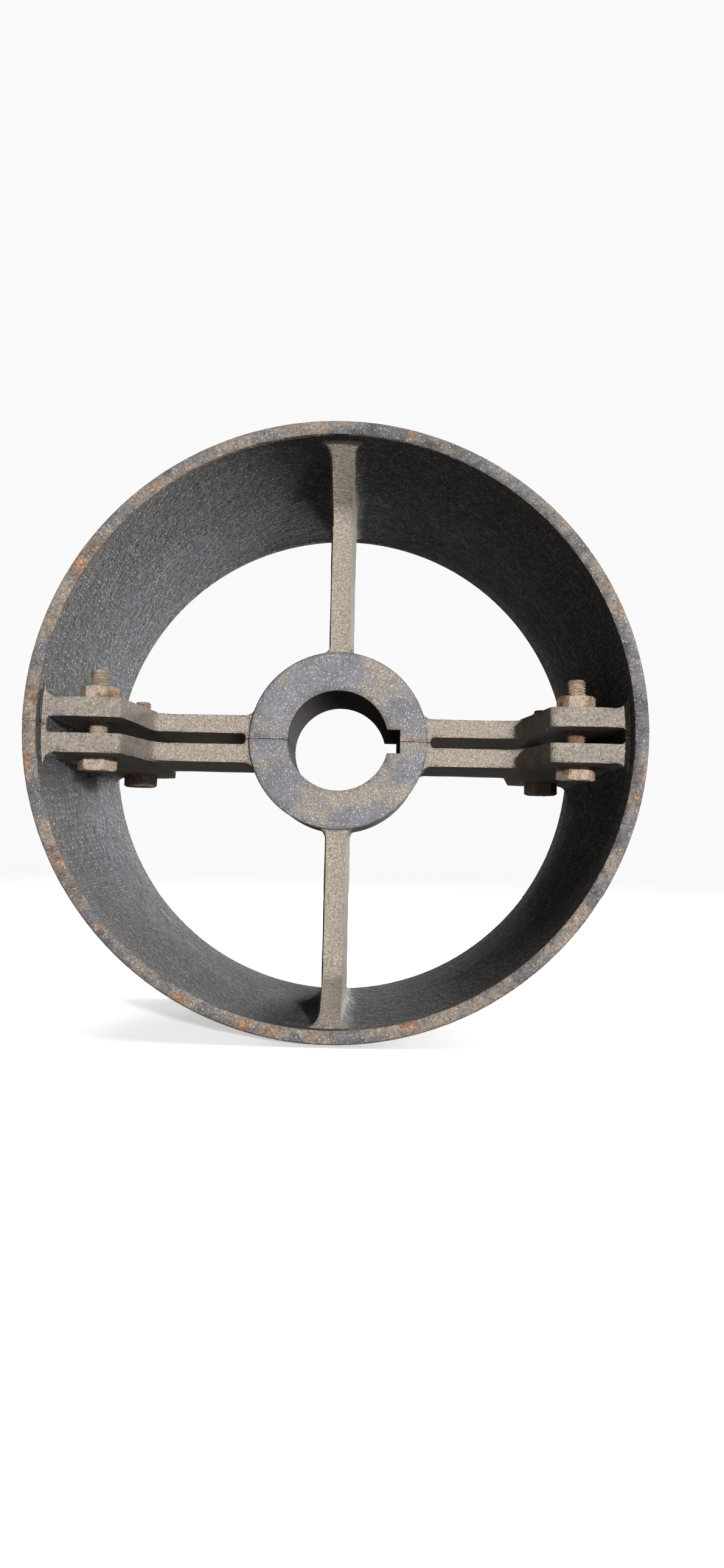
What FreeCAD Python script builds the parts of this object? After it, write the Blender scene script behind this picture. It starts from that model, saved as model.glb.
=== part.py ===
"""Split cast-iron flat-belt pulley.

Two half castings close on a shaft along the plane z = 0 and are drawn together by
four bolts through lugs inside the rim, two at each end of the split.  The pulley
turns about Y; its origin is the centre of the bore, half way along the face.
All lengths are in millimetres.
"""
import FreeCAD, Part
import os
import re
import Sketcher

doc = FreeCAD.newDocument("split_pulley")

# ---------------------------------------------------------------- driving sizes
SIZES = [
    ("rim_radius", 152.5, "belt face at its edges"),
    ("face_width", 197.0, "along the axis"),
    ("crown_height", 1.0, "belt face is this much higher half way along"),
    ("rim_wall", 7.0, "rim thickness at its turned edges"),
    ("rim_draft", 2.0, "extra rim thickness half way along, for the mould"),
    ("edge_chamfer", 1.2, "outer corners of the rim"),
    ("hub_radius", 48.0, ""),
    ("hub_length", 76.0, ""),
    ("hub_chamfer", 1.0, "outer corners of the hub"),
    ("bore_radius", 27.0, "shaft hole"),
    ("key_width", 12.7, "keyway, half in each casting"),
    ("key_depth", 6.3, "beyond the bore"),
    ("arm_depth", 72.0, "arms, along the axis, between hub and flare"),
    ("arm_width", 11.0, "whole arm, at its front and back edges"),
    ("arm_swell", 2.0, "draft: the arm's flank stands this much proud half way along"),
    ("branch_width", 13.0, "split arm, outer flank from the split plane"),
    ("slot_half", 2.7, "half the slot between the two split arms"),
    ("lug_setback", 10.5, "rim edge to the edge of the lugs and arm feet"),
    ("lug_half", 4.0, "half the gap between two lugs"),
    ("lug_width", 13.8, "lug's outer face from the split plane"),
    ("lug_reach", 39.0, "lug at its full depth, from the rim inwards"),
    ("flare_run", 8.5, "slope from split arm to lug, along the radius"),
    ("foot_run", 21.5, "slope from whole arm to rim, along the radius"),
    ("slot_margin", 2.0, "metal between hub and slot"),
    ("slot_land", 2.5, "metal between slot and rim"),
    ("root_fillet", 6.0, "arm to hub and arm to rim"),
    ("slot_fillet", 2.0, "corners at the ends of the slot"),
    ("lug_fillet", 4.0, "outer corners of the lugs, seen from above"),
    ("flare_fillet", 12.0, "hollow where an arm starts to deepen"),
    ("split_gap", 0.4, "between the two castings when bolted up"),
    ("bolt_radius", 5.0, "thread's outside"),
    ("bolt_offset", 22.0, "bolt axis from the rim inwards, along X"),
    ("bolt_inset", 38.5, "bolt axis from the rim's edge, along Y"),
    ("bolt_clearance", 0.6, "round the bolt in the lugs"),
    ("thread_clearance", 0.06, "round the bolt in its nut"),
    ("hex_flats", 18.0, "bolt head and nut, across flats"),
    ("hex_bevel", 0.4, "corner chamfer starts this far inside the flats"),
    ("head_height", 7.5, ""),
    ("nut_height", 9.0, ""),
    ("bolt_projection", 8.5, "bolt's end above its nut"),
    ("bolt_point", 1.2, "chamfer at the bolt's end"),
]

sheet = doc.addObject("Spreadsheet::Sheet", "Sizes")
for row, (alias, number, note) in enumerate(SIZES, start=1):
    sheet.set(f"A{row}", alias)
    sheet.set(f"B{row}", str(number))
    sheet.setAlias(f"B{row}", alias)
    sheet.set(f"C{row}", note)
doc.recompute()

LOWER = -1
UPPER = 1

# Places that follow from the sizes, as expressions
RIM_INSIDE = "(rim_radius - rim_wall)"
RIM_MIDDLE = "(rim_radius - rim_wall / 2)"
RIM_EDGE = "(face_width / 2)"
LUG_EDGE = "(face_width / 2 - lug_setback)"
ARM_EDGE = "(arm_depth / 2)"
ARM_START = "(hub_radius / 2)"
LUG_START = f"({RIM_INSIDE} - lug_reach)"
FLARE_START = f"({LUG_START} - flare_run)"
FOOT_START = f"({RIM_INSIDE} - foot_run)"
SLOT_START = "(hub_radius + slot_margin)"
SLOT_END = f"({RIM_INSIDE} - slot_land)"
BOLT_X = f"({RIM_INSIDE} - bolt_offset)"
BOLT_Y = f"({RIM_EDGE} - bolt_inset)"
BOLT_END = "(lug_width + nut_height + bolt_projection)"


def bound(expression):
    """The expression with every size looked up in the sheet."""
    return re.sub(r"\b([a-z]+_[a-z]+)\b", r"Sizes.\1", expression)


def value(expression):
    return float(sheet.evalExpression(bound(expression)))


def signed(side, expression):
    return expression if side > 0 else f"-({expression})"


# ---------------------------------------------------------------- sketch helpers
def new_body(label):
    body = doc.addObject("PartDesign::Body", label)
    body.Label = label
    return body


def new_sketch(body, role, name, offset=None):
    """A sketch on the body's own origin plane, moved along the plane's normal."""
    plane = next(item for item in body.Origin.OriginFeatures if item.Role == role)
    sketch = body.newObject("Sketcher::SketchObject", name)
    sketch.AttachmentSupport = (plane, [""])
    sketch.MapMode = "FlatFace"
    if offset:
        sketch.setExpression("AttachmentOffset.Base.z", bound(offset))
    return sketch


def fix_point(sketch, geometry, point, across, up):
    """Tie a point of the sketch to the expressions of its two coordinates."""
    for kind, axis, expression in (("DistanceX", -2, across), ("DistanceY", -1, up)):
        if expression == "0":
            sketch.addConstraint(Sketcher.Constraint("PointOnObject", geometry, point, axis))
            continue
        index = sketch.addConstraint(
            Sketcher.Constraint(kind, -1, 1, geometry, point, value(expression)))
        sketch.setExpression(f"Constraints[{index}]", bound(expression))


def outline(sketch, corners):
    """A closed outline of straight sides through corners given as expressions."""
    points = [FreeCAD.Vector(value(across), value(up), 0) for across, up in corners]
    count = len(corners)
    for index in range(count):
        sketch.addGeometry(Part.LineSegment(points[index], points[(index + 1) % count]))
    for index in range(count):
        sketch.addConstraint(
            Sketcher.Constraint("Coincident", index, 2, (index + 1) % count, 1))
    for index, (across, up) in enumerate(corners):
        fix_point(sketch, index, 1, across, up)


def circle(sketch, across, up, radius):
    centre = FreeCAD.Vector(value(across), value(up), 0)
    index = sketch.addGeometry(Part.Circle(centre, FreeCAD.Vector(0, 0, 1), value(radius)))
    fix_point(sketch, index, 3, across, up)
    rule = sketch.addConstraint(Sketcher.Constraint("Radius", index, value(radius)))
    sketch.setExpression(f"Constraints[{rule}]", bound(radius))


# ---------------------------------------------------------------- feature helpers
def volume_of(body):
    doc.recompute()
    return body.Shape.Volume


def cutting(body, name, before):
    """Stop if a cut that should have taken metal away has left the body as it was."""
    if volume_of(body) >= before:
        raise RuntimeError(f"{body.Label}: {name} cuts nothing")


def pad(body, sketch, name, length, both_ways=False, reverse=False):
    feature = body.newObject("PartDesign::Pad", name)
    feature.Profile = sketch
    feature.SideType = "Symmetric" if both_ways else "One side"
    feature.Reversed = reverse
    feature.setExpression("Length", bound(length))
    doc.recompute()


def pocket(body, sketch, name, length, both_ways=False, reverse=False):
    before = volume_of(body)
    feature = body.newObject("PartDesign::Pocket", name)
    feature.Profile = sketch
    feature.SideType = "Symmetric" if both_ways else "One side"
    feature.Reversed = reverse
    feature.setExpression("Length", bound(length))
    cutting(body, name, before)


def revolve(body, sketch, name):
    """A full turn about the sketch's upright axis."""
    feature = body.newObject("PartDesign::Revolution", name)
    feature.Profile = sketch
    feature.ReferenceAxis = (sketch, ["V_Axis"])
    feature.Angle = 360
    doc.recompute()


def fillet(body, name, radius, wanted):
    """Round every straight or curved edge of the tip that the test picks."""
    doc.recompute()
    tip = body.Tip
    names = [f"Edge{index}" for index, edge in enumerate(tip.Shape.Edges, start=1)
             if wanted(edge)]
    feature = body.newObject("PartDesign::Fillet", name)
    feature.Base = (tip, names)
    feature.setExpression("Radius", bound(radius))
    doc.recompute()


# ---------------------------------------------------------------- the castings
def add_rim(body):
    """Full ring: crowned belt face outside, mould draft and a turned band inside."""
    sketch = new_sketch(body, "XY_Plane", "rim_section")
    outline(sketch, [
        ("rim_radius - edge_chamfer", f"-{RIM_EDGE}"),
        ("rim_radius", f"edge_chamfer - {RIM_EDGE}"),
        ("rim_radius + crown_height * 3 / 4", f"-{RIM_EDGE} / 2"),
        ("rim_radius + crown_height", "0"),
        ("rim_radius + crown_height * 3 / 4", f"{RIM_EDGE} / 2"),
        ("rim_radius", f"{RIM_EDGE} - edge_chamfer"),
        ("rim_radius - edge_chamfer", RIM_EDGE),
        (RIM_INSIDE, RIM_EDGE),
        (RIM_INSIDE, LUG_EDGE),
        (f"{RIM_INSIDE} - rim_draft", "0"),
        (RIM_INSIDE, f"-{LUG_EDGE}"),
        (RIM_INSIDE, f"-{RIM_EDGE}"),
    ])
    revolve(body, sketch, "rim")


def add_whole_arm(body, side):
    """Arm square to the split: drafted bar, and a foot that spreads along the rim."""
    section = new_sketch(body, "XY_Plane", "arm_section", signed(side, ARM_START))
    edge = "arm_width / 2"
    middle = "arm_width / 2 + arm_swell"
    outline(section, [
        (f"-({edge})", f"-{ARM_EDGE}"), (edge, f"-{ARM_EDGE}"), (middle, "0"),
        (edge, ARM_EDGE), (f"-({edge})", ARM_EDGE), (f"-({middle})", "0"),
    ])
    pad(body, section, "arm", f"{RIM_MIDDLE} - {ARM_START}", reverse=side < 0)
    foot = new_sketch(body, "YZ_Plane", "foot_section")
    root = signed(side, "hub_radius")
    hollow = signed(side, FOOT_START)
    toe = signed(side, RIM_INSIDE)
    inside_rim = signed(side, RIM_MIDDLE)
    outline(foot, [
        (f"-{ARM_EDGE}", root), (ARM_EDGE, root), (ARM_EDGE, hollow), (LUG_EDGE, toe),
        (LUG_EDGE, inside_rim), (f"-{LUG_EDGE}", inside_rim), (f"-{LUG_EDGE}", toe),
        (f"-{ARM_EDGE}", hollow),
    ])
    pad(body, foot, "foot", "arm_width", both_ways=True)


def add_hub(body):
    sketch = new_sketch(body, "XY_Plane", "hub_section")
    end = "hub_length / 2"
    outline(sketch, [
        ("0", f"-({end})"), ("hub_radius - hub_chamfer", f"-({end})"),
        ("hub_radius", f"hub_chamfer - {end}"), ("hub_radius", f"{end} - hub_chamfer"),
        ("hub_radius - hub_chamfer", end), ("0", end),
    ])
    revolve(body, sketch, "hub")


def add_split_arm(body, side, hand):
    """Arm along the split, on one hand of the hub, with the lug that takes the bolts.

    Both start a little past the split plane, which cut_split then trims.
    """
    name = "right" if hand > 0 else "left"
    past = signed(side, "-slot_half")
    section = new_sketch(body, "YZ_Plane", f"{name}_arm_section", signed(hand, ARM_START))
    outline(section, [
        (f"-{ARM_EDGE}", past), (ARM_EDGE, past), (ARM_EDGE, signed(side, "branch_width")),
        ("0", signed(side, "branch_width + arm_swell")),
        (f"-{ARM_EDGE}", signed(side, "branch_width")),
    ])
    pad(body, section, f"{name}_arm", f"{RIM_MIDDLE} - {ARM_START}", reverse=hand < 0)
    lug = new_sketch(body, "XY_Plane", f"{name}_lug_section", past)
    flare = signed(hand, FLARE_START)
    corner = signed(hand, LUG_START)
    inside_rim = signed(hand, RIM_MIDDLE)
    outline(lug, [
        (flare, f"-{ARM_EDGE}"), (corner, f"-{LUG_EDGE}"), (inside_rim, f"-{LUG_EDGE}"),
        (inside_rim, LUG_EDGE), (corner, LUG_EDGE), (flare, ARM_EDGE),
    ])
    pad(body, lug, f"{name}_lug", "lug_width + slot_half", reverse=side < 0)


def cut_slot(body, side, hand):
    """Gap between the split arms, a little wider between the lugs."""
    name = "right" if hand > 0 else "left"
    past = signed(side, "-slot_half * 2")
    sketch = new_sketch(body, "XZ_Plane", f"{name}_slot_section")
    outline(sketch, [
        (signed(hand, SLOT_START), past),
        (signed(hand, SLOT_START), signed(side, "slot_half")),
        (signed(hand, FLARE_START), signed(side, "slot_half")),
        (signed(hand, LUG_START), signed(side, "lug_half")),
        (signed(hand, SLOT_END), signed(side, "lug_half")),
        (signed(hand, SLOT_END), past),
    ])
    pocket(body, sketch, f"{name}_slot", "face_width", both_ways=True)


def cut_bore(body):
    bore = new_sketch(body, "XZ_Plane", "bore_section")
    circle(bore, "0", "0", "bore_radius")
    pocket(body, bore, "bore", "face_width", both_ways=True)
    keyway = new_sketch(body, "XZ_Plane", "keyway_section")
    outline(keyway, [
        ("0", "-key_width / 2"),
        ("bore_radius + key_depth", "-key_width / 2"),
        ("bore_radius + key_depth", "key_width / 2"),
        ("0", "key_width / 2"),
    ])
    pocket(body, keyway, "keyway", "face_width", both_ways=True)


def drill_lugs(body, side):
    sketch = new_sketch(body, "XY_Plane", "bolt_holes")
    for hand in (1, -1):
        for end in (1, -1):
            circle(sketch, signed(hand, BOLT_X), signed(end, BOLT_Y),
                   "bolt_radius + bolt_clearance")
    pocket(body, sketch, "bolt_hole", "lug_width * 2", reverse=side > 0)


def cut_split(body, side):
    """Take away everything past the split plane, less half the gap."""
    sketch = new_sketch(body, "XY_Plane", "split_section", signed(side, "split_gap / 2"))
    edge = "rim_radius + rim_wall"
    outline(sketch, [
        (f"-({edge})", f"-({edge})"), (edge, f"-({edge})"), (edge, edge), (f"-({edge})", edge),
    ])
    pocket(body, sketch, "split", edge, reverse=side < 0)


def parallel_to_axis(edge):
    """Edges that run along Y, as where an arm's flank meets the hub or the rim."""
    first, last = edge.Vertexes[0].Point, edge.Vertexes[-1].Point
    run = last - first
    return run.Length > 1 and abs(run.y) > 0.9 * run.Length


def distance_from_axis(point):
    return (point.x ** 2 + point.z ** 2) ** 0.5


def is_arm_root(side):
    """Picks the inner corners between an arm's flank and the hub or the rim."""
    hub = value("hub_radius")
    rim_inside = value(RIM_INSIDE)
    draft = value("rim_draft")
    slot = value("slot_half")

    def wanted(edge):
        if not parallel_to_axis(edge):
            return False
        ends = [vertex.Point for vertex in edge.Vertexes]
        if any(point.z * side < slot for point in ends):
            return False
        radii = [distance_from_axis(point) for point in ends]
        at_hub = all(abs(radius - hub) < 0.1 for radius in radii)
        at_rim = all(rim_inside - draft - 0.1 < radius < rim_inside + 0.1 for radius in radii)
        return at_hub or at_rim

    return wanted


def corner_along(axis, places):
    """Picks the straight edges along an axis that stand at one of the places.

    A place gives the distances from the origin along the other two axes, in X, Y, Z order.
    """
    others = [index for index in range(3) if index != axis]
    wanted_places = [tuple(value(expression) for expression in place) for place in places]

    def wanted(edge):
        first, last = edge.Vertexes[0].Point, edge.Vertexes[-1].Point
        run = last - first
        if run.Length < 1 or abs(run[axis]) < 0.999 * run.Length:
            return False
        found = [abs(first[index]) for index in others]
        return any(all(abs(a - b) < 0.05 for a, b in zip(found, place))
                   for place in wanted_places)

    return wanted


def add_casting(label, side):
    body = new_body(label)
    add_rim(body)
    add_whole_arm(body, side)
    add_hub(body)
    for hand in (1, -1):
        add_split_arm(body, side, hand)
    fillet(body, "foot_hollows", "flare_fillet", corner_along(0, [(ARM_EDGE, FOOT_START)]))
    fillet(body, "lug_hollows", "flare_fillet", corner_along(2, [(FLARE_START, ARM_EDGE)]))
    fillet(body, "lug_corners", "lug_fillet", corner_along(2, [(LUG_START, LUG_EDGE)]))
    fillet(body, "arm_roots", "root_fillet", is_arm_root(side))
    cut_bore(body)
    for hand in (1, -1):
        cut_slot(body, side, hand)
    fillet(body, "slot_ends", "slot_fillet",
           corner_along(1, [(SLOT_START, "slot_half"), (SLOT_END, "lug_half")]))
    drill_lugs(body, side)
    cut_split(body, side)
    return body


# ---------------------------------------------------------------- bolts and nuts
def hexagon(sketch, flats):
    """A regular hexagon about the origin, two of its corners on the X axis."""
    corner = f"{flats} / sqrt(3)"
    half = f"{flats} / 2"
    outline(sketch, [
        (corner, "0"), (f"{corner} / 2", half), (f"-({corner}) / 2", half),
        (f"-({corner})", "0"), (f"-({corner}) / 2", f"-({half})"),
        (f"{corner} / 2", f"-({half})"),
    ])


def chamfer_corners(body, name, top, inward):
    """Turn off the hexagon's corners at 30 degrees at one end; inward points into it."""
    sketch = new_sketch(body, "XZ_Plane", f"{name}_section")
    inner = "hex_flats / 2 - hex_bevel"
    outer = "hex_flats * 2 / 3"
    drop = f"({outer} - ({inner})) * tan(30)"
    outline(sketch, [(inner, top), (outer, f"{top} {inward} {drop}"), (outer, top)])
    before = volume_of(body)
    groove = body.newObject("PartDesign::Groove", name)
    groove.Profile = sketch
    groove.ReferenceAxis = (sketch, ["V_Axis"])
    groove.Angle = 360
    cutting(body, name, before)


def add_bolt(label):
    """Hexagon head under the lower lug, shank up through both lugs and the nut."""
    body = new_body(label)
    head = new_sketch(body, "XY_Plane", "head_section", "-(lug_width)")
    hexagon(head, "hex_flats")
    pad(body, head, "head", "head_height", reverse=True)
    chamfer_corners(body, "head_chamfer", "-(lug_width + head_height)", "+")
    shank = new_sketch(body, "XZ_Plane", "shank_section")
    root = "-(lug_width + head_height / 2)"
    outline(shank, [
        ("0", root), ("bolt_radius", root), ("bolt_radius", f"{BOLT_END} - bolt_point"),
        ("bolt_radius - bolt_point", BOLT_END), ("0", BOLT_END),
    ])
    revolve(body, shank, "shank")
    return body


def add_nut(label):
    """Hexagon nut seated on the upper lug."""
    body = new_body(label)
    flats = new_sketch(body, "XY_Plane", "nut_section", "lug_width")
    hexagon(flats, "hex_flats")
    pad(body, flats, "hexagon", "nut_height")
    chamfer_corners(body, "nut_chamfer", "lug_width + nut_height", "-")
    hole = new_sketch(body, "XY_Plane", "hole_section", "lug_width")
    circle(hole, "0", "0", "bolt_radius + thread_clearance")
    pocket(body, hole, "threaded_hole", "nut_height", reverse=True)
    return body


def place(body, hand, end):
    """Stand a bolt or nut on its axis: hand picks left or right, end front or back."""
    body.setExpression("Placement.Base.x", bound(signed(hand, BOLT_X)))
    body.setExpression("Placement.Base.y", bound(signed(end, BOLT_Y)))


# ---------------------------------------------------------------- the assembly
pieces = [add_casting("lower_half", LOWER), add_casting("upper_half", UPPER)]
for end_name, end in (("front", -1), ("rear", 1)):
    for hand_name, hand in (("left", -1), ("right", 1)):
        for maker, piece in ((add_bolt, "bolt"), (add_nut, "nut")):
            fastener = maker(f"{piece}_{end_name}_{hand_name}")
            place(fastener, hand, end)
            pieces.append(fastener)
doc.recompute()

# ---------------------------------------------------------------- check and write
for item in doc.Objects:
    if "Invalid" in item.State or "Error" in item.State:
        raise RuntimeError(f"{item.Label} failed: {item.State}")
for piece in pieces:
    if piece.Shape.isNull() or not piece.Shape.isValid() or len(piece.Shape.Solids) != 1:
        raise RuntimeError(f"{piece.Label} is not one valid solid")

os.makedirs("parts", exist_ok=True)
for piece in pieces:
    piece.Shape.exportStep(f"parts/{piece.Label}.step")
    box = piece.Shape.BoundBox
    print(f"{piece.Label}: {piece.Shape.Volume / 1000:.1f} cm3, "
          f"{box.XLength:.1f} x {box.YLength:.1f} x {box.ZLength:.1f} mm")
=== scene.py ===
# %% [markdown]
# # A split cast-iron belt pulley, weathered
# The part is an old flat-belt pulley: two half castings that close round a shaft,
# drawn together by four rusted bolts.  Each finished piece rides on a body of the
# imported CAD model, so that it moves as the real piece does.  Lengths are in metres,
# the shaft lies along Y, the split plane is z = 0 and the front of the pulley faces -Y.

# %% Load the frame
import math
import bmesh
import bpy
from mathutils import Matrix, Vector, noise
from mathutils.bvhtree import BVHTree


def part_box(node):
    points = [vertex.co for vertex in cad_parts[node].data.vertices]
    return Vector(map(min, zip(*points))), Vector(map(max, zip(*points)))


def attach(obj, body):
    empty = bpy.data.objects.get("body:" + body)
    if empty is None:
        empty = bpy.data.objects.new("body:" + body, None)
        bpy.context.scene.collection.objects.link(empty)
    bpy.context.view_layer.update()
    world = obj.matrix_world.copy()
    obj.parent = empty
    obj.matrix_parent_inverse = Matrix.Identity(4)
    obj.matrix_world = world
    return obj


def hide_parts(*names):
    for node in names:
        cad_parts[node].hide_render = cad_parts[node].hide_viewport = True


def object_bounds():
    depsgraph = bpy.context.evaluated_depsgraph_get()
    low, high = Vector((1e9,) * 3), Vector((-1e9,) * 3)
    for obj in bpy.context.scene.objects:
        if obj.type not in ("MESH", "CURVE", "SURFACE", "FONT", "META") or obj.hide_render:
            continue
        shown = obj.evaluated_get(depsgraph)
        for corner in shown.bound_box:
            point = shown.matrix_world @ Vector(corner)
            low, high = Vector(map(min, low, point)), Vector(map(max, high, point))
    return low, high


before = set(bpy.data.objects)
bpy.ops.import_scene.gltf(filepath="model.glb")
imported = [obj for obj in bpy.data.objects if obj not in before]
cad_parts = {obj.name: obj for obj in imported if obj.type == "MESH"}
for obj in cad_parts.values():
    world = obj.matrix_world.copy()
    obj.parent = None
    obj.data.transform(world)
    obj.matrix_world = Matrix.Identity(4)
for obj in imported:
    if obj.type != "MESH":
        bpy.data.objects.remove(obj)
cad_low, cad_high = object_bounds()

MM = 0.001
lower_low, lower_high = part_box("lower_half")
bolt_low, bolt_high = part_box("bolt_front_right")
nut_low, nut_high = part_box("nut_front_right")
FACE_EDGE = lower_high.y
RIM_RADIUS = -lower_low.z
print("CAD box:", [round(v, 4) for v in cad_low], [round(v, 4) for v in cad_high])

# %% [markdown]
# ## Room, light and camera
# A dirty dark casting needs a plain room, or its small colour differences are lost.
# The walls and floor are paler to the camera than to the pulley, so that the shadows
# inside the rim stay deep; the floor also glows a little, to the camera only.  One
# lamp to the right of the camera picks out the front faces, rakes along the left
# inside of the rim and leaves the right inside dark.  A weaker one does the same from
# behind, two soft ones light the outside of the rim from the sides, and a wide
# skylight lights the floor.

# %% Floor and world
scene = bpy.context.scene
scene.view_settings.view_transform = "Standard"
world = bpy.data.worlds.new("white_room")
scene.world = world
world.use_nodes = True
WALL_SEEN, WALL_LIGHT = 0.95, 0.07
FLOOR_SEEN, FLOOR_LIGHT = 0.85, 0.15
FLOOR_GLOW = 0.39
FLOOR_RADIUS = 15
FLOOR_DROP = 0.2 * MM


def by_camera(tree, for_light, for_camera):
    """A value that is one number to the light and another to the camera."""
    path = tree.nodes.new("ShaderNodeLightPath")
    choice = tree.nodes.new("ShaderNodeMapRange")
    tree.links.new(path.outputs["Is Camera Ray"], choice.inputs["Value"])
    choice.inputs["To Min"].default_value = for_light
    choice.inputs["To Max"].default_value = for_camera
    return choice.outputs["Result"]


backdrop = world.node_tree.nodes["Background"]
backdrop.inputs["Color"].default_value = (1, 1, 1, 1)
wall_strength = by_camera(world.node_tree, WALL_LIGHT, WALL_SEEN)
world.node_tree.links.new(wall_strength, backdrop.inputs["Strength"])

floor_mesh = bpy.data.meshes.new("floor")
bm = bmesh.new()
bmesh.ops.create_circle(bm, cap_ends=True, segments=96, radius=FLOOR_RADIUS)
bmesh.ops.translate(bm, vec=(0, 0, cad_low.z - FLOOR_DROP), verts=bm.verts)
bm.to_mesh(floor_mesh)
bm.free()
floor = bpy.data.objects.new("floor", floor_mesh)
scene.collection.objects.link(floor)
floor_paint = bpy.data.materials.new("floor_paint")
floor_paint.use_nodes = True
floor_tree = floor_paint.node_tree
matt = floor_tree.nodes["Principled BSDF"]
matt.inputs["Roughness"].default_value = 0.9
matt.inputs["Emission Color"].default_value = (1, 1, 1, 1)
floor_tree.links.new(by_camera(floor_tree, FLOOR_LIGHT, FLOOR_SEEN), matt.inputs["Base Color"])
floor_tree.links.new(by_camera(floor_tree, 0.0, FLOOR_GLOW), matt.inputs["Emission Strength"])
floor_mesh.materials.append(floor_paint)
print("floor:", FLOOR_RADIUS, "m in radius, at z =", round(cad_low.z - FLOOR_DROP, 4))

# %% Lamps
LAMP_DISTANCE = 3.0


def aim(obj, place, target):
    """Put an object at a place and turn its -Z towards a target."""
    obj.location = place
    obj.rotation_mode = "QUATERNION"
    obj.rotation_quaternion = (Vector(target) - Vector(place)).to_track_quat("-Z", "Y")


def lamp(name, direction, size, power):
    """A round lamp that stands off in a direction and shines on the middle of the pulley."""
    data = bpy.data.lights.new(name, "AREA")
    data.shape = "DISK"
    data.size = size
    data.energy = power
    obj = bpy.data.objects.new(name, data)
    scene.collection.objects.link(obj)
    aim(obj, Vector(direction).normalized() * LAMP_DISTANCE, (0, 0, 0))


lamp("key", (0.28, -1.0, 0.09), 0.12, 182)
lamp("back", (0.28, 1.0, 0.10), 0.8, 62)
for hand in (-1, 1):
    lamp(f"side_{hand}", (hand, 0.10, 0.30), 1.0, 45)
skylight_data = bpy.data.lights.new("skylight", "SUN")
skylight_data.energy = 1.9
skylight_data.angle = math.radians(50)
skylight = bpy.data.objects.new("skylight", skylight_data)
scene.collection.objects.link(skylight)
aim(skylight, (0, 0, 4), (0, 0, 0))

# %% [markdown]
# The camera is a plain wide lens close to the pulley, a little below its middle and
# tipped up slightly, so that the front rim looks large and the rear rim small.

# %% Camera
CAMERA_PLACE = (0.01413, -0.6666, -0.0665)
YAW, TIP, ROLL = math.radians(0.07), math.radians(3.94), math.radians(1.21)
camera_data = bpy.data.cameras.new("camera")
camera_data.lens = 27.07
camera_data.sensor_width = 36
camera_data.clip_start = 0.01
camera = bpy.data.objects.new("camera", camera_data)
scene.collection.objects.link(camera)
axes = Matrix.Rotation(YAW, 3, "Z") @ Matrix.Rotation(TIP, 3, "X")
right, forward, up = axes.col[0].copy(), axes.col[1].copy(), axes.col[2].copy()
tilted_right = math.cos(ROLL) * right + math.sin(ROLL) * up
tilted_up = math.cos(ROLL) * up - math.sin(ROLL) * right
turn = Matrix((tilted_right, tilted_up, -forward)).transposed()
camera.matrix_world = Matrix.Translation(CAMERA_PLACE) @ turn.to_4x4()
scene.camera = camera
print("camera:", camera_data.lens, "mm lens at", CAMERA_PLACE)

# %% [markdown]
# ## Effects that several finishes share
# Patches, sand grain, rust tones and worn edges come back on every piece, so each is a
# node group with its own inputs.  A group gives out colours, masks or heights only.

# %% Helpers for node trees
MIX_AMOUNT, MIX_FIRST, MIX_SECOND, MIX_COLOUR = 0, 6, 7, 2


def plug(tree, socket, source):
    """Link an input to another node's output, or give it a value."""
    if isinstance(source, bpy.types.NodeSocket):
        tree.links.new(source, socket)
    else:
        socket.default_value = source


def add_node(tree, kind, links=(), **settings):
    """Make a node, set its properties, and plug its inputs from (name, source) pairs."""
    made = tree.nodes.new(kind)
    for key, setting in settings.items():
        setattr(made, key, setting)
    for name, source in links:
        plug(tree, made.inputs[name], source)
    return made


def math_node(tree, operation, *sources):
    """A math node with its inputs plugged in order."""
    return add_node(tree, "ShaderNodeMath", enumerate(sources), operation=operation).outputs[0]


def mix_colour(tree, amount, first, second):
    """Blend two colours, each an output of a node or three numbers."""
    first, second = (source if isinstance(source, bpy.types.NodeSocket) else (*source, 1)
                     for source in (first, second))
    pairs = ((MIX_AMOUNT, amount), (MIX_FIRST, first), (MIX_SECOND, second))
    return add_node(tree, "ShaderNodeMix", pairs, data_type="RGBA").outputs[MIX_COLOUR]


def step_up(tree, source, start, end):
    """Smooth rise from 0 at start to 1 at end."""
    pairs = (("Value", source), ("From Min", start), ("From Max", end))
    made = add_node(tree, "ShaderNodeMapRange", pairs, interpolation_type="SMOOTHSTEP")
    return made.outputs["Result"]


def new_group(name, inputs, outputs):
    """A node group; inputs are (name, kind, default), outputs are (name, kind)."""
    tree = bpy.data.node_groups.new(name, "ShaderNodeTree")
    for label, kind, default in inputs:
        socket = tree.interface.new_socket(label, in_out="INPUT", socket_type=kind)
        if default is not None:
            socket.default_value = default
    for label, kind in outputs:
        tree.interface.new_socket(label, in_out="OUTPUT", socket_type=kind)
    start = tree.nodes.new("NodeGroupInput")
    end = tree.nodes.new("NodeGroupOutput")
    return tree, start.outputs, end.inputs


FLOAT, VECTOR, COLOUR = "NodeSocketFloat", "NodeSocketVector", "NodeSocketColor"

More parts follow.
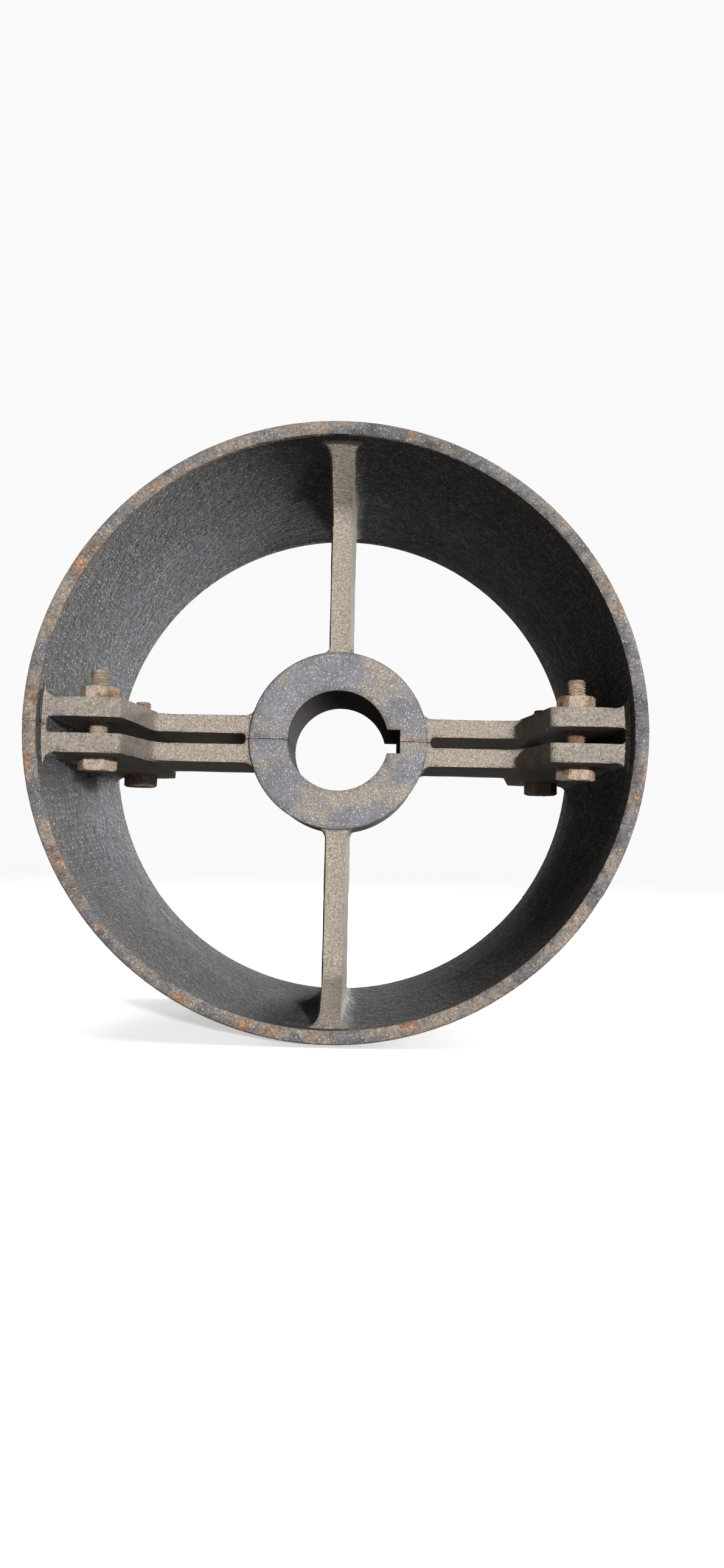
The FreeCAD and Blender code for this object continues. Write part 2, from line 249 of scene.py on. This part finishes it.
# %% Patches: a ragged mask that covers a chosen share of the surface
patches, given, result = new_group(
    "patches",
    [("Position", VECTOR, None), ("Size", FLOAT, 0.02), ("Amount", FLOAT, 0.5),
     ("Softness", FLOAT, 0.06), ("Seed", FLOAT, 0.0)],
    [("Mask", FLOAT)])
shifted = add_node(patches, "ShaderNodeVectorMath", operation="ADD")
patches.links.new(given["Position"], shifted.inputs[0])
patches.links.new(given["Seed"], shifted.inputs[1])
fine = math_node(patches, "DIVIDE", 1.0, given["Size"])
cloud = add_node(patches, "ShaderNodeTexNoise",
                 [("Vector", shifted.outputs[0]), ("Scale", fine), ("Detail", 7.0), ("Roughness", 0.62)])
level = math_node(patches, "MULTIPLY_ADD", given["Amount"], -0.5, 0.75)
low = math_node(patches, "SUBTRACT", level, given["Softness"])
high = math_node(patches, "ADD", level, given["Softness"])
patches.links.new(step_up(patches, cloud.outputs["Fac"], low, high), result["Mask"])
print(patches.name, "has", len(patches.nodes), "nodes")

# %% Sand grain: the skin of a casting made in sand, with bright grains here and there that carry a painted glint
sand, given, result = new_group(
    "sand_grain",
    [("Position", VECTOR, None), ("Size", FLOAT, 0.001), ("Glitter", FLOAT, 0.9)],
    [("Height", FLOAT), ("Sparkle", FLOAT), ("Pits", FLOAT)])
fine = math_node(sand, "DIVIDE", 1.0, given["Size"])
grains = add_node(sand, "ShaderNodeTexVoronoi", [("Vector", given["Position"]), ("Scale", fine)])
rough = add_node(sand, "ShaderNodeTexNoise",
                 [("Vector", given["Position"]), ("Scale", math_node(sand, "MULTIPLY", fine, 0.35)),
                  ("Detail", 5.0), ("Roughness", 0.7)])
round_grain = math_node(sand, "SUBTRACT", 1.0, grains.outputs["Distance"])
sand.links.new(math_node(sand, "ADD", math_node(sand, "MULTIPLY", round_grain, 0.45),
                         math_node(sand, "MULTIPLY", rough.outputs["Fac"], 1.1)), result["Height"])
hollows = add_node(sand, "ShaderNodeTexNoise",
                   [("Vector", given["Position"]), ("Scale", math_node(sand, "MULTIPLY", fine, 0.55)),
                    ("Detail", 4.0), ("Roughness", 0.7)])
sand.links.new(step_up(sand, hollows.outputs["Fac"], 0.58, 0.38), result["Pits"])
picked = add_node(sand, "ShaderNodeSeparateColor", [("Color", grains.outputs["Color"])])
glitter_end = math_node(sand, "ADD", given["Glitter"], 0.06)
chosen = step_up(sand, picked.outputs[0], given["Glitter"], glitter_end)
centre = step_up(sand, grains.outputs["Distance"], 0.50, 0.15)
sand.links.new(math_node(sand, "MULTIPLY", chosen, centre), result["Sparkle"])
print(sand.name, "has", len(sand.nodes), "nodes")

# %% Rust tones, from nearly black through brown to orange
rust, given, result = new_group(
    "rust_tones",
    [("Position", VECTOR, None), ("Brightness", FLOAT, 1.0)],
    [("Color", COLOUR)])
cloud = add_node(rust, "ShaderNodeTexNoise",
                 [("Vector", given["Position"]), ("Scale", 260.0), ("Detail", 8.0), ("Roughness", 0.7)])
ramp = add_node(rust, "ShaderNodeValToRGB", [("Fac", cloud.outputs["Fac"])])
ramp.color_ramp.elements[0].position = 0.30
ramp.color_ramp.elements[0].color = (0.030, 0.016, 0.010, 1)
ramp.color_ramp.elements[1].position = 0.72
ramp.color_ramp.elements[1].color = (0.27, 0.155, 0.080, 1)
middle_tone = ramp.color_ramp.elements.new(0.5)
middle_tone.color = (0.125, 0.068, 0.038, 1)
bright = add_node(rust, "ShaderNodeVectorMath", operation="SCALE")
rust.links.new(ramp.outputs["Color"], bright.inputs[0])
rust.links.new(given["Brightness"], bright.inputs["Scale"])
rust.links.new(bright.outputs[0], result["Color"])
print(rust.name, "has", len(rust.nodes), "nodes")

# %% Worn edges: where hands, belts and floors have rubbed a corner down
wear, given, result = new_group(
    "edge_wear",
    [("Position", VECTOR, None), ("Edge", FLOAT, 0.0), ("Amount", FLOAT, 0.5)],
    [("Mask", FLOAT)])
ragged = add_node(wear, "ShaderNodeTexNoise",
                  [("Vector", given["Position"]), ("Scale", 180.0), ("Detail", 6.0), ("Roughness", 0.65)])
reach = math_node(wear, "ADD", given["Edge"], math_node(wear, "MULTIPLY", ragged.outputs["Fac"], 1.2))
level = math_node(wear, "SUBTRACT", 2.1, given["Amount"])
wear.links.new(step_up(wear, reach, math_node(wear, "SUBTRACT", level, 0.12),
                       math_node(wear, "ADD", level, 0.12)), result["Mask"])
print(wear.name, "has", len(wear.nodes), "nodes")

# %% [markdown]
# ## Finishes
# Iron, old blue paint, dust and rust lie over one another in that order everywhere;
# what differs from place to place is how much of each is left.  So one function
# builds the layers, and each part of the casting has its own amounts.

# %% The layered finish
IRON = (0.030, 0.029, 0.030)
BLUE = (0.078, 0.089, 0.122)
DUST = (0.300, 0.255, 0.205)
GRIME_AND_SHADE = (0.085, 0.066, 0.050)
BARE = (0.20, 0.165, 0.135)
BAND_DUST = (0.135, 0.118, 0.100)
SEAM = (0.02, 0.019, 0.018)
PIT = (0.018, 0.017, 0.018)
SHADOW_DIRT = (0.030, 0.027, 0.024)
# GLINT is the colour of the painted highlights on bright sand grains.
GLINT = (0.62, 0.60, 0.57)
PAINT_PATCH, DUST_PATCH, RUST_PATCH = 18 * MM, 26 * MM, 14 * MM
SHADE_AND_DIRT_STARTS, SHADE_AND_DIRT_FULL = 15 * MM, -55 * MM


def use_group(tree, group, links):
    """Put a node group in a material and give back its outputs."""
    return add_node(tree, "ShaderNodeGroup", links, node_tree=group).outputs


def iron_finish(name, paint=0.5, dust=0.5, rust_share=0.2, grain=1.0, bump=0.5, edge=0.5, seed=0.0,
                blue=BLUE, dusty=DUST, sparkle=0.6, rust_bright=1.0, roughness=0.75,
                mottle=0.5, relief_depth=0.6, ragged=0.08, haze=0.2, glitter=0.9, deep=1.0, band=0.0,
                specular=0.4, clouding=0.45, swell=0.0, rust_soft=0.05, glint=0.7):
    """Old paint, dust and rust over iron.

    paint, dust and rust_share are shares of the surface.  grain and glint are the sizes
    of the sand grain and of its bright grains with their painted glints, and relief_depth its depth, all
    in mm.
    haze is the least dust anywhere, band is how far in from the rim's faces a pale dust
    reaches, and deep is the share of its colour that the skin keeps towards the front under dirt and
    painted shade.
    """
    material = bpy.data.materials.new(name)
    material.use_nodes = True
    tree = material.node_tree
    shader = tree.nodes["Principled BSDF"]
    shader.inputs["Specular IOR Level"].default_value = specular
    position = add_node(tree, "ShaderNodeTexCoord").outputs["Object"]
    worn = add_node(tree, "ShaderNodeAttribute", attribute_name="edge").outputs["Fac"]
    hollow = add_node(tree, "ShaderNodeAttribute", attribute_name="crevice").outputs["Fac"]
    grime_and_shade = step_up(tree, hollow, 0.25, 0.95)
    skin = use_group(tree, sand, [("Position", position), ("Size", grain * MM)])
    glints = use_group(tree, sand, [("Position", position), ("Size", glint * MM),
                                    ("Glitter", glitter)])
    painted = use_group(tree, patches, [("Position", position), ("Size", PAINT_PATCH), ("Amount", paint),
                                        ("Softness", ragged), ("Seed", seed)])
    dusted = use_group(tree, patches, [("Position", position), ("Size", DUST_PATCH), ("Amount", dust),
                                       ("Softness", 0.10), ("Seed", seed + 3.0)])
    rusty = use_group(tree, patches, [("Position", position), ("Size", RUST_PATCH), ("Amount", rust_share),
                                      ("Softness", rust_soft), ("Seed", seed + 7.0)])
    tones = use_group(tree, rust, [("Position", position), ("Brightness", rust_bright)])
    rubbed = use_group(tree, wear, [("Position", position), ("Edge", worn), ("Amount", edge)])
    clouds = add_node(tree, "ShaderNodeTexNoise",
                      [("Vector", position), ("Scale", 90.0), ("Detail", 6.0), ("Roughness", 0.7)])
    shade = clouds.outputs["Fac"]
    colour = mix_colour(tree, painted["Mask"], IRON, blue)
    thin = mix_colour(tree, clouding, colour, IRON)
    colour = mix_colour(tree, step_up(tree, shade, 0.35, 0.70), thin, colour)
    lying = math_node(tree, "MULTIPLY_ADD", dusted["Mask"], 1.0 - haze, haze)
    speckle = math_node(tree, "MULTIPLY", lying, step_up(tree, skin["Height"], 0.15, 0.75))
    colour = mix_colour(tree, speckle, colour, dusty)
    colour = mix_colour(tree, rusty["Mask"], colour, tones["Color"])
    colour = mix_colour(tree, math_node(tree, "MULTIPLY", rubbed["Mask"], 0.7), colour, BARE)
    along = add_node(tree, "ShaderNodeSeparateXYZ", [("Vector", position)]).outputs["Y"]
    if band > 0.0:
        depth = math_node(tree, "SUBTRACT", FACE_EDGE, math_node(tree, "ABSOLUTE", along))
        broad = add_node(tree, "ShaderNodeTexNoise",
                         [("Vector", position), ("Scale", 35.0), ("Detail", 4.0)])
        wavy = math_node(tree, "SUBTRACT", depth, math_node(tree, "MULTIPLY", broad.outputs["Fac"], band))
        settled = math_node(tree, "MULTIPLY", step_up(tree, wavy, band * 0.45, band * -0.05),
                            step_up(tree, skin["Height"], 0.0, 0.7))
        colour = mix_colour(tree, math_node(tree, "MULTIPLY", settled, 0.85), colour, BAND_DUST)
        seam = math_node(tree, "MULTIPLY", step_up(tree, wavy, band * 0.40, band * 0.45),
                         step_up(tree, wavy, band * 0.62, band * 0.50))
        colour = mix_colour(tree, math_node(tree, "MULTIPLY", seam, 0.5), colour, SEAM)
    colour = mix_colour(tree, math_node(tree, "MULTIPLY", skin["Pits"], mottle), colour, PIT)
    # Grime and painted shade: the skin darkens in the hollows, as far as the crevice attribute says they
    # are shut in.
    colour = mix_colour(tree, math_node(tree, "MULTIPLY", grime_and_shade, 0.6), colour, GRIME_AND_SHADE)
    # Dirt and painted shade: the skin darkens towards the front of the rim's inside.
    if deep < 1.0:
        wander = math_node(tree, "MULTIPLY_ADD", shade, 0.05, -0.025)
        front = step_up(tree, math_node(tree, "ADD", along, wander), SHADE_AND_DIRT_STARTS, SHADE_AND_DIRT_FULL)
        colour = mix_colour(tree, math_node(tree, "MULTIPLY", front, 1.0 - deep), colour, SHADOW_DIRT)
    # Painted highlights: near-white glints on the bright sand grains, which are also made less rough.
    colour = mix_colour(tree, math_node(tree, "MULTIPLY", glints["Sparkle"], sparkle), colour, GLINT)
    tree.links.new(colour, shader.inputs["Base Color"])
    shine = math_node(tree, "MULTIPLY_ADD", glints["Sparkle"], -0.35, roughness)
    tree.links.new(shine, shader.inputs["Roughness"])
    height = math_node(tree, "ADD", skin["Height"], math_node(tree, "MULTIPLY", rusty["Mask"], 0.4))
    if swell > 0.0:
        lumps = add_node(tree, "ShaderNodeTexNoise",
                         [("Vector", position), ("Scale", 200.0), ("Detail", 4.0), ("Roughness", 0.65)])
        height = math_node(tree, "ADD", height, math_node(tree, "MULTIPLY", lumps.outputs["Fac"], swell))
    relief = add_node(tree, "ShaderNodeBump", [("Strength", bump), ("Distance", relief_depth * MM),
                                               ("Height", height)])
    tree.links.new(relief.outputs["Normal"], shader.inputs["Normal"])
    return material


finishes = {
    "turned_face": iron_finish("turned_face", paint=0.62, dust=0.50, rust_share=0.26, grain=0.7, bump=0.8,
                               edge=0.80, seed=1.0, sparkle=0.7, mottle=0.55, dusty=(0.20, 0.160, 0.125),
                               rust_bright=1.7, relief_depth=0.9, haze=0.16, glitter=0.86,
                               blue=(0.098, 0.108, 0.132)),
    "hub_face": iron_finish("hub_face", paint=0.95, dust=0.36, rust_share=0.12, grain=0.65, bump=0.9,
                            edge=0.55, seed=5.0, sparkle=0.85, mottle=0.40, dusty=(0.225, 0.192, 0.155),
                            haze=0.16, glitter=0.80, blue=(0.150, 0.157, 0.188), rust_bright=1.5),
    "rim_inside": iron_finish("rim_inside", paint=0.75, dust=0.26, rust_share=0.05, grain=1.6, bump=1.0,
                              edge=0.3, seed=9.0, blue=(0.112, 0.136, 0.196), sparkle=0.65, mottle=0.95,
                              relief_depth=2.4, dusty=(0.22, 0.195, 0.165), glitter=0.76, deep=0.45,
                              haze=0.12, band=0.024, clouding=0.85, swell=3.5, glint=1.0),
    "arm_skin": iron_finish("arm_skin", paint=0.36, dust=0.94, rust_share=0.08, grain=0.7, bump=1.0,
                            edge=0.3, seed=13.0, sparkle=0.9, mottle=0.42, relief_depth=1.1, glitter=0.82,
                            haze=0.50, rust_bright=1.5),
    "lug_skin": iron_finish("lug_skin", paint=0.80, dust=0.76, rust_share=0.16, grain=0.8, bump=1.0,
                            edge=0.35, seed=33.0, sparkle=0.8, mottle=0.45, relief_depth=1.1, glitter=0.86,
                            haze=0.22, rust_bright=1.5, dusty=(0.240, 0.203, 0.166),
                            blue=(0.12, 0.13, 0.185)),
    "belt_face": iron_finish("belt_face", paint=0.25, dust=0.40, rust_share=0.36, grain=0.8, bump=0.5,
                             edge=0.5, seed=17.0, sparkle=0.3, roughness=0.7, mottle=0.45, haze=0.25,
                             dusty=(0.17, 0.142, 0.115), ragged=0.2, rust_soft=0.22, rust_bright=1.1),
    "bore_wall": iron_finish("bore_wall", paint=0.0, dust=0.20, rust_share=0.35, grain=0.9, bump=0.5,
                             edge=0.3, seed=21.0, sparkle=0.2, rust_bright=0.5, mottle=0.6, roughness=0.95,
                             dusty=(0.10, 0.085, 0.065), specular=0.05),
}
fastener_rust = iron_finish("fastener_rust", paint=0.0, dust=0.80, rust_share=0.45, grain=0.6, bump=0.9,
                            edge=0.3, seed=25.0, dusty=(0.345, 0.270, 0.205), rust_bright=1.8, sparkle=0.4,
                            mottle=0.45, relief_depth=0.8, haze=0.5)
print("finishes:", ", ".join(finishes), "and", fastener_rust.name)

# %% [markdown]
# ## The two castings
# A casting made in sand is never quite flat, and its corners are soft.  The shape
# itself is right in the CAD model, so a copy of its mesh is the start: the loose
# triangles are joined, sharp corners get a small round, and the skin is cut into
# cells of a few millimetres whose corners can then be pushed in by a smooth noise.
# The two halves are mirror images, so the work is done once.

# %% Joined copy with rounded corners
CELL = 5 * MM
ROUND = 0.7 * MM
SHARP = math.radians(32)
SPLIT_LEVEL = 0.3 * MM


def joined_copy(node):
    """The node's mesh with its triangles joined and flat areas made whole."""
    bm = bmesh.new()
    bm.from_mesh(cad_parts[node].data)
    bmesh.ops.remove_doubles(bm, verts=bm.verts, dist=2e-6)
    bmesh.ops.dissolve_limit(bm, angle_limit=math.radians(0.5), verts=bm.verts, edges=bm.edges,
                             use_dissolve_boundaries=False)
    return bm


casting = joined_copy("lower_half")
open_edges = sum(1 for e in casting.edges if not e.is_manifold)
print("joined copy:", len(casting.faces), "faces,", open_edges, "open edges")
corners = [e for e in casting.edges if e.is_manifold and e.calc_face_angle(0) > SHARP
           and not all(abs(v.co.z) < SPLIT_LEVEL for v in e.verts)]
rounded = bmesh.ops.bevel(casting, geom=corners, offset=ROUND, offset_type="OFFSET", segments=2,
                          profile=0.5, affect="EDGES", clamp_overlap=True, material=-1)
edge_layer = casting.faces.layers.float.new("edge")
for face in rounded["faces"]:
    if face.is_valid:
        face[edge_layer] = 1.0
print("after rounding:", len(casting.faces), "faces,",
      sum(1 for e in casting.edges if not e.is_manifold), "open edges")

# %% Cut the skin into cells
PLANE_SHIFT = 0.013 * MM


def slice_mesh(bm, axis, low, high, step):
    """Cut every face that crosses a set of parallel planes, set a little off from flat faces."""
    normal = Vector((0, 0, 0))
    normal[axis] = 1
    count = math.ceil((high - low) / step)
    for index in range(1, count):
        place = normal * (low + (high - low) * index / count + PLANE_SHIFT)
        bmesh.ops.bisect_plane(bm, geom=bm.verts[:] + bm.edges[:] + bm.faces[:],
                               dist=1e-7, plane_co=place, plane_no=normal)


for axis in range(3):
    slice_mesh(casting, axis, lower_low[axis], lower_high[axis], CELL)
bmesh.ops.dissolve_degenerate(casting, dist=0.02 * MM, edges=casting.edges)
bmesh.ops.delete(casting, geom=[v for v in casting.verts if not v.link_faces], context="VERTS")
bmesh.ops.triangulate(casting, faces=[f for f in casting.faces if len(f.verts) > 4])
print("cells:", len(casting.faces), "faces")
master = bpy.data.meshes.new("casting_master")
casting.to_mesh(master)
casting.free()

# %% Find the hollows, where grime stays and shade is painted
REACH = 9 * MM
around = [Vector((math.cos(a) * math.cos(e), math.sin(a) * math.cos(e), math.sin(e)))
          for e in (math.radians(25), math.radians(60)) for a in [math.tau * k / 6 for k in range(6)]]
bm = bmesh.new()
bm.from_mesh(master)
bm.normal_update()
tree_of_faces = BVHTree.FromBMesh(bm)
crevice_layer = bm.verts.layers.float.new("crevice")
for vert in bm.verts:
    turn_to_normal = vert.normal.to_track_quat("Z", "Y")
    start = vert.co + vert.normal * 0.3 * MM
    hits = sum(1 for ray in around if tree_of_faces.ray_cast(start, turn_to_normal @ ray, REACH)[0])
    vert[crevice_layer] = hits / len(around)
bm.to_mesh(master)
print("verts in hollows:", sum(1 for v in bm.verts if v[crevice_layer] > 0.3), "of", len(bm.verts))
bm.free()

# %% Name the parts of the skin
SKINS = list(finishes)
# Sizes of the CAD model that its boxes don't tell.
HUB_EDGE = 38 * MM
RIM_INSIDE = 145 * MM
HUB_RADIUS = 48 * MM
BORE_RADIUS = 27 * MM
LUG_START = 98 * MM
LUG_TOP = 20 * MM
LUG_FACE = 13.8 * MM
BOLT_ACROSS = 123.5 * MM
FASTENER_REACH = 13 * MM


def skin_of(face):
    """Which finish a face has, from where it lies and which way it looks."""
    centre, normal = face.calc_center_median(), face.normal
    radius = math.hypot(centre.x, centre.z)
    outward = (centre.x * normal.x + centre.z * normal.z) / max(radius, 1e-6)
    if radius > RIM_INSIDE - 0.6 * MM and abs(centre.y) > FACE_EDGE - 0.8 * MM:
        return "turned_face"
    if radius > RIM_RADIUS - 3 * MM and outward > 0.3:
        return "belt_face"
    if radius > RIM_INSIDE - 5 * MM and outward < -0.6 and abs(normal.y) < 0.15:
        return "rim_inside"
    if abs(centre.x) > LUG_START and abs(centre.z) < LUG_TOP and radius < RIM_INSIDE:
        return "lug_skin"
    if radius < HUB_RADIUS + 0.2 * MM and abs(normal.y) > 0.2 and abs(centre.y) > HUB_EDGE - 1.3 * MM:
        return "hub_face"
    if radius < BORE_RADIUS + 7 * MM and outward < 0.5 and abs(centre.y) < HUB_EDGE:
        return "bore_wall"
    return "arm_skin"


print("skins:", ", ".join(SKINS))


# %% Push the skin about
def unevenness(place):
    """How far in the sand-cast skin lies at a place, from 0 to 1."""
    shifted = place + Vector((3.0, 2.1, -3.0))
    broad = noise.noise(shifted * 28) * 0.5 + 0.5
    close = noise.noise(shifted * 90) * 0.5 + 0.5
    return 0.6 * broad + 0.4 * close


DEPTH = {"turned_face": 0.16, "hub_face": 0.12, "rim_inside": 0.9, "arm_skin": 0.8, "lug_skin": 0.5,
         "belt_face": 0.25, "bore_wall": 0.06}
JOINT_REACH = 0.9 * MM


def push_of(vert, depth):
    """The inward push on a point; on the joint it stays level, so that the halves stay flush."""
    under_a_fastener = (abs(abs(vert.co.x) - BOLT_ACROSS) < FASTENER_REACH and abs(vert.co.y) > HUB_EDGE
                        and abs(abs(vert.co.z) - LUG_FACE) < JOINT_REACH)
    if under_a_fastener:
        return Vector()
    direction = vert.normal.copy()
    if abs(vert.co.z) < JOINT_REACH:
        direction.z = 0
    return direction * -depth * MM * unevenness(vert.co)


def weathered_casting(name, node, mirrored):
    """Give the master casting its finishes and its uneven skin, and ride it on a body."""
    bm = bmesh.new()
    bm.from_mesh(master)
    if mirrored:
        bmesh.ops.scale(bm, vec=(1, 1, -1), verts=bm.verts)
        bmesh.ops.reverse_faces(bm, faces=bm.faces)
    bm.normal_update()
    depth = {}
    for face in bm.faces:
        skin = skin_of(face)
        face.material_index = SKINS.index(skin)
        face.smooth = True
        for vert in face.verts:
            depth[vert.index] = min(depth.get(vert.index, 9.0), DEPTH[skin])
    pushes = [push_of(vert, depth[vert.index]) for vert in bm.verts]
    for vert, push in zip(bm.verts, pushes):
        vert.co += push
    mesh = bpy.data.meshes.new(name)
    bm.to_mesh(mesh)
    bm.free()
    for skin in SKINS:
        mesh.materials.append(finishes[skin])
    mesh.set_sharp_from_angle(angle=math.radians(40))
    obj = bpy.data.objects.new(name, mesh)
    scene.collection.objects.link(obj)
    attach(obj, node)
    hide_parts(node)
    print(name, "has", len(mesh.polygons), "faces")


weathered_casting("lower_casting", "lower_half", False)
weathered_casting("upper_casting", "upper_half", True)

# %% [markdown]
# ## Bolts and nuts
# The bolts and nuts are hexagon steel, rusty all over, and the threads show above the
# nuts.  A thread is one tooth carried round a helix, so a single tooth profile is spun
# with a rise of one pitch a turn.  Heads and nuts keep a hair of air over the lugs.

# %% Sizes of the fasteners
THREAD_PITCH = 1.5 * MM
SEAT_AIR = 0.04 * MM
THREAD_RADIUS = 5.0 * MM
TOOTH = 0.75 * MM
TOOTH_STEPS = 28
SHANK_POINT = 1.2 * MM
HALF_FLATS = (nut_high.y - nut_low.y) / 2
CORNER_LIMIT = HALF_FLATS * 1.135
BLUNT = 0.25 * MM
HEAD_MIDDLE = 1.5 * MM
NUT_BORE = 5.06 * MM
SEAT = nut_low.z
NUT_TOP = nut_high.z
HEAD_END = bolt_low.z
BOLT_END = bolt_high.z
SEGMENTS = 48
print("bolt from", round(HEAD_END / MM, 1), "to", round(BOLT_END / MM, 1), "mm, flats",
      round(2 * HALF_FLATS / MM, 1))


def hexagon_radius(angle):
    """Distance from the middle to a hexagon's side, its corners on the X axis."""
    from_middle = (angle + math.pi / 6) % (math.pi / 3) - math.pi / 6
    return min(HALF_FLATS / math.cos(math.pi / 6 - abs(from_middle)), CORNER_LIMIT)


def ring_moved(bm, edges, shape):
    """Extrude a ring of edges and move each new corner by a function of its angle."""
    made = bmesh.ops.extrude_edge_only(bm, edges=edges)["geom"]
    for vert in (g for g in made if isinstance(g, bmesh.types.BMVert)):
        angle = math.atan2(vert.co.y, vert.co.x)
        radius, height = shape(angle)
        vert.co = Vector((radius * math.cos(angle), radius * math.sin(angle), height))
    return [g for g in made if isinstance(g, bmesh.types.BMEdge)]


def hexagon_block(bm, seat, far, hole):
    """A hexagon from its flat seat to its far end, whose corners are turned off at 30 degrees."""
    out = 1 if far > seat else -1
    seat += out * SEAT_AIR
    flat = HALF_FLATS - 0.4 * MM
    inner = hole or HEAD_MIDDLE
    ring = bmesh.ops.create_circle(bm, segments=SEGMENTS, radius=inner)["verts"]
    bmesh.ops.translate(bm, vec=(0, 0, seat), verts=ring)
    edges = [e for e in bm.edges if all(v in ring for v in e.verts)]
    first = list(edges)
    height = abs(far - seat)

    def turned(angle):
        return far - out * max(0.0, hexagon_radius(angle) - flat) * math.tan(math.radians(30))

    for shape in (lambda a: (flat * 0.75, seat),
                  lambda a: (hexagon_radius(a) - BLUNT, seat),
                  lambda a: (hexagon_radius(a), seat + out * BLUNT),
                  lambda a: (hexagon_radius(a), seat + out * height * 0.3),
                  lambda a: (hexagon_radius(a), seat + out * height * 0.5),
                  lambda a: (hexagon_radius(a), turned(a) - out * 1.2 * MM),
                  lambda a: (hexagon_radius(a), turned(a)),
                  lambda a: (flat, far),
                  lambda a: (flat * 0.75, far),
                  lambda a: (inner, far)):
        edges = ring_moved(bm, edges, shape)
    if hole:
        bmesh.ops.bridge_loops(bm, edges=first + edges)
    else:
        bmesh.ops.edgeloop_fill(bm, edges=first)
        bmesh.ops.edgeloop_fill(bm, edges=edges)
    bmesh.ops.recalc_face_normals(bm, faces=bm.faces)


def threaded_shank(bm, low, high):
    """A helical thread from low to high, with a turned point at its upper end."""
    turns = math.ceil((high - low) / THREAD_PITCH) + 2
    root, crest = THREAD_RADIUS - TOOTH, THREAD_RADIUS - 0.02 * MM
    profile = [(root, 0.0), (root, 0.12), (crest, 0.42), (crest, 0.62), (root, 0.95), (root, 1.0)]
    verts = [bm.verts.new((radius, 0, low - THREAD_PITCH + share * THREAD_PITCH))
             for radius, share in profile]
    edges = [bm.edges.new(pair) for pair in zip(verts, verts[1:])]
    bmesh.ops.spin(bm, geom=verts + edges, cent=(0, 0, 0), axis=(0, 0, 1),
                   dvec=(0, 0, THREAD_PITCH / TOOTH_STEPS), angle=math.tau * turns,
                   steps=TOOTH_STEPS * turns)
    bmesh.ops.remove_doubles(bm, verts=bm.verts, dist=0.004 * MM)
    for height, keep_below in ((low, False), (high, True)):
        cut = bmesh.ops.bisect_plane(bm, geom=bm.verts[:] + bm.edges[:] + bm.faces[:], dist=1e-7,
                                     plane_co=(0, 0, height), plane_no=(0, 0, 1),
                                     clear_outer=keep_below, clear_inner=not keep_below)
        rim = [g for g in cut["geom_cut"] if isinstance(g, bmesh.types.BMEdge)]
        bmesh.ops.edgeloop_fill(bm, edges=rim)
    for vert in bm.verts:
        radius = math.hypot(vert.co.x, vert.co.y)
        limit = THREAD_RADIUS - max(0.0, vert.co.z - (high - SHANK_POINT))
        if radius > limit:
            vert.co.x *= limit / radius
            vert.co.y *= limit / radius
    bmesh.ops.recalc_face_normals(bm, faces=bm.faces)


def corrode(bm, seed, depth):
    """Eat the surface away unevenly, inwards only."""
    bm.normal_update()
    pushed = []
    for vert in bm.verts:
        place = (vert.co + Vector((seed, -seed, seed))) * 420
        eaten = max(0.0, noise.noise(place) * 0.7 + noise.noise(place * 2.7) * 0.5 + 0.25)
        pushed.append(-vert.normal * eaten * depth)
    for vert, push in zip(bm.verts, pushed):
        vert.co += push


def finished_fastener(bm, name, body, place):
    """Turn a mesh into a rusty piece at its place, and ride it on a body."""
    bmesh.ops.translate(bm, vec=place, verts=bm.verts)
    mesh = bpy.data.meshes.new(name)
    bm.to_mesh(mesh)
    bm.free()
    for polygon in mesh.polygons:
        polygon.use_smooth = True
    mesh.set_sharp_from_angle(angle=math.radians(38))
    mesh.materials.append(fastener_rust)
    obj = bpy.data.objects.new(name, mesh)
    scene.collection.objects.link(obj)
    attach(obj, body)
    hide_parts(body)
    print(name, "has", len(mesh.polygons), "faces")


# %% Make the four bolts and four nuts
for number, (end, hand) in enumerate((e, h) for e in ("front", "rear") for h in ("left", "right")):
    low_corner, high_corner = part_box(f"nut_{end}_{hand}")
    axis = ((low_corner.x + high_corner.x) / 2, (low_corner.y + high_corner.y) / 2, 0)
    bolt = bmesh.new()
    hexagon_block(bolt, -SEAT, HEAD_END, None)
    shank = bmesh.new()
    threaded_shank(shank, -SEAT - 2 * MM, BOLT_END)
    corrode(bolt, number * 1.7, 0.25 * MM)
    corrode(shank, number * 1.7, 0.12 * MM)
    spare = bpy.data.meshes.new("shank")
    shank.to_mesh(spare)
    shank.free()
    bolt.from_mesh(spare)
    bpy.data.meshes.remove(spare)
    finished_fastener(bolt, f"rusted_bolt_{end}_{hand}", f"bolt_{end}_{hand}", axis)
    nut = bmesh.new()
    hexagon_block(nut, SEAT, NUT_TOP, NUT_BORE)
    corrode(nut, number * 2.3 + 5, 0.25 * MM)
    finished_fastener(nut, f"rusted_nut_{end}_{hand}", f"nut_{end}_{hand}", axis)
bpy.data.meshes.remove(master)
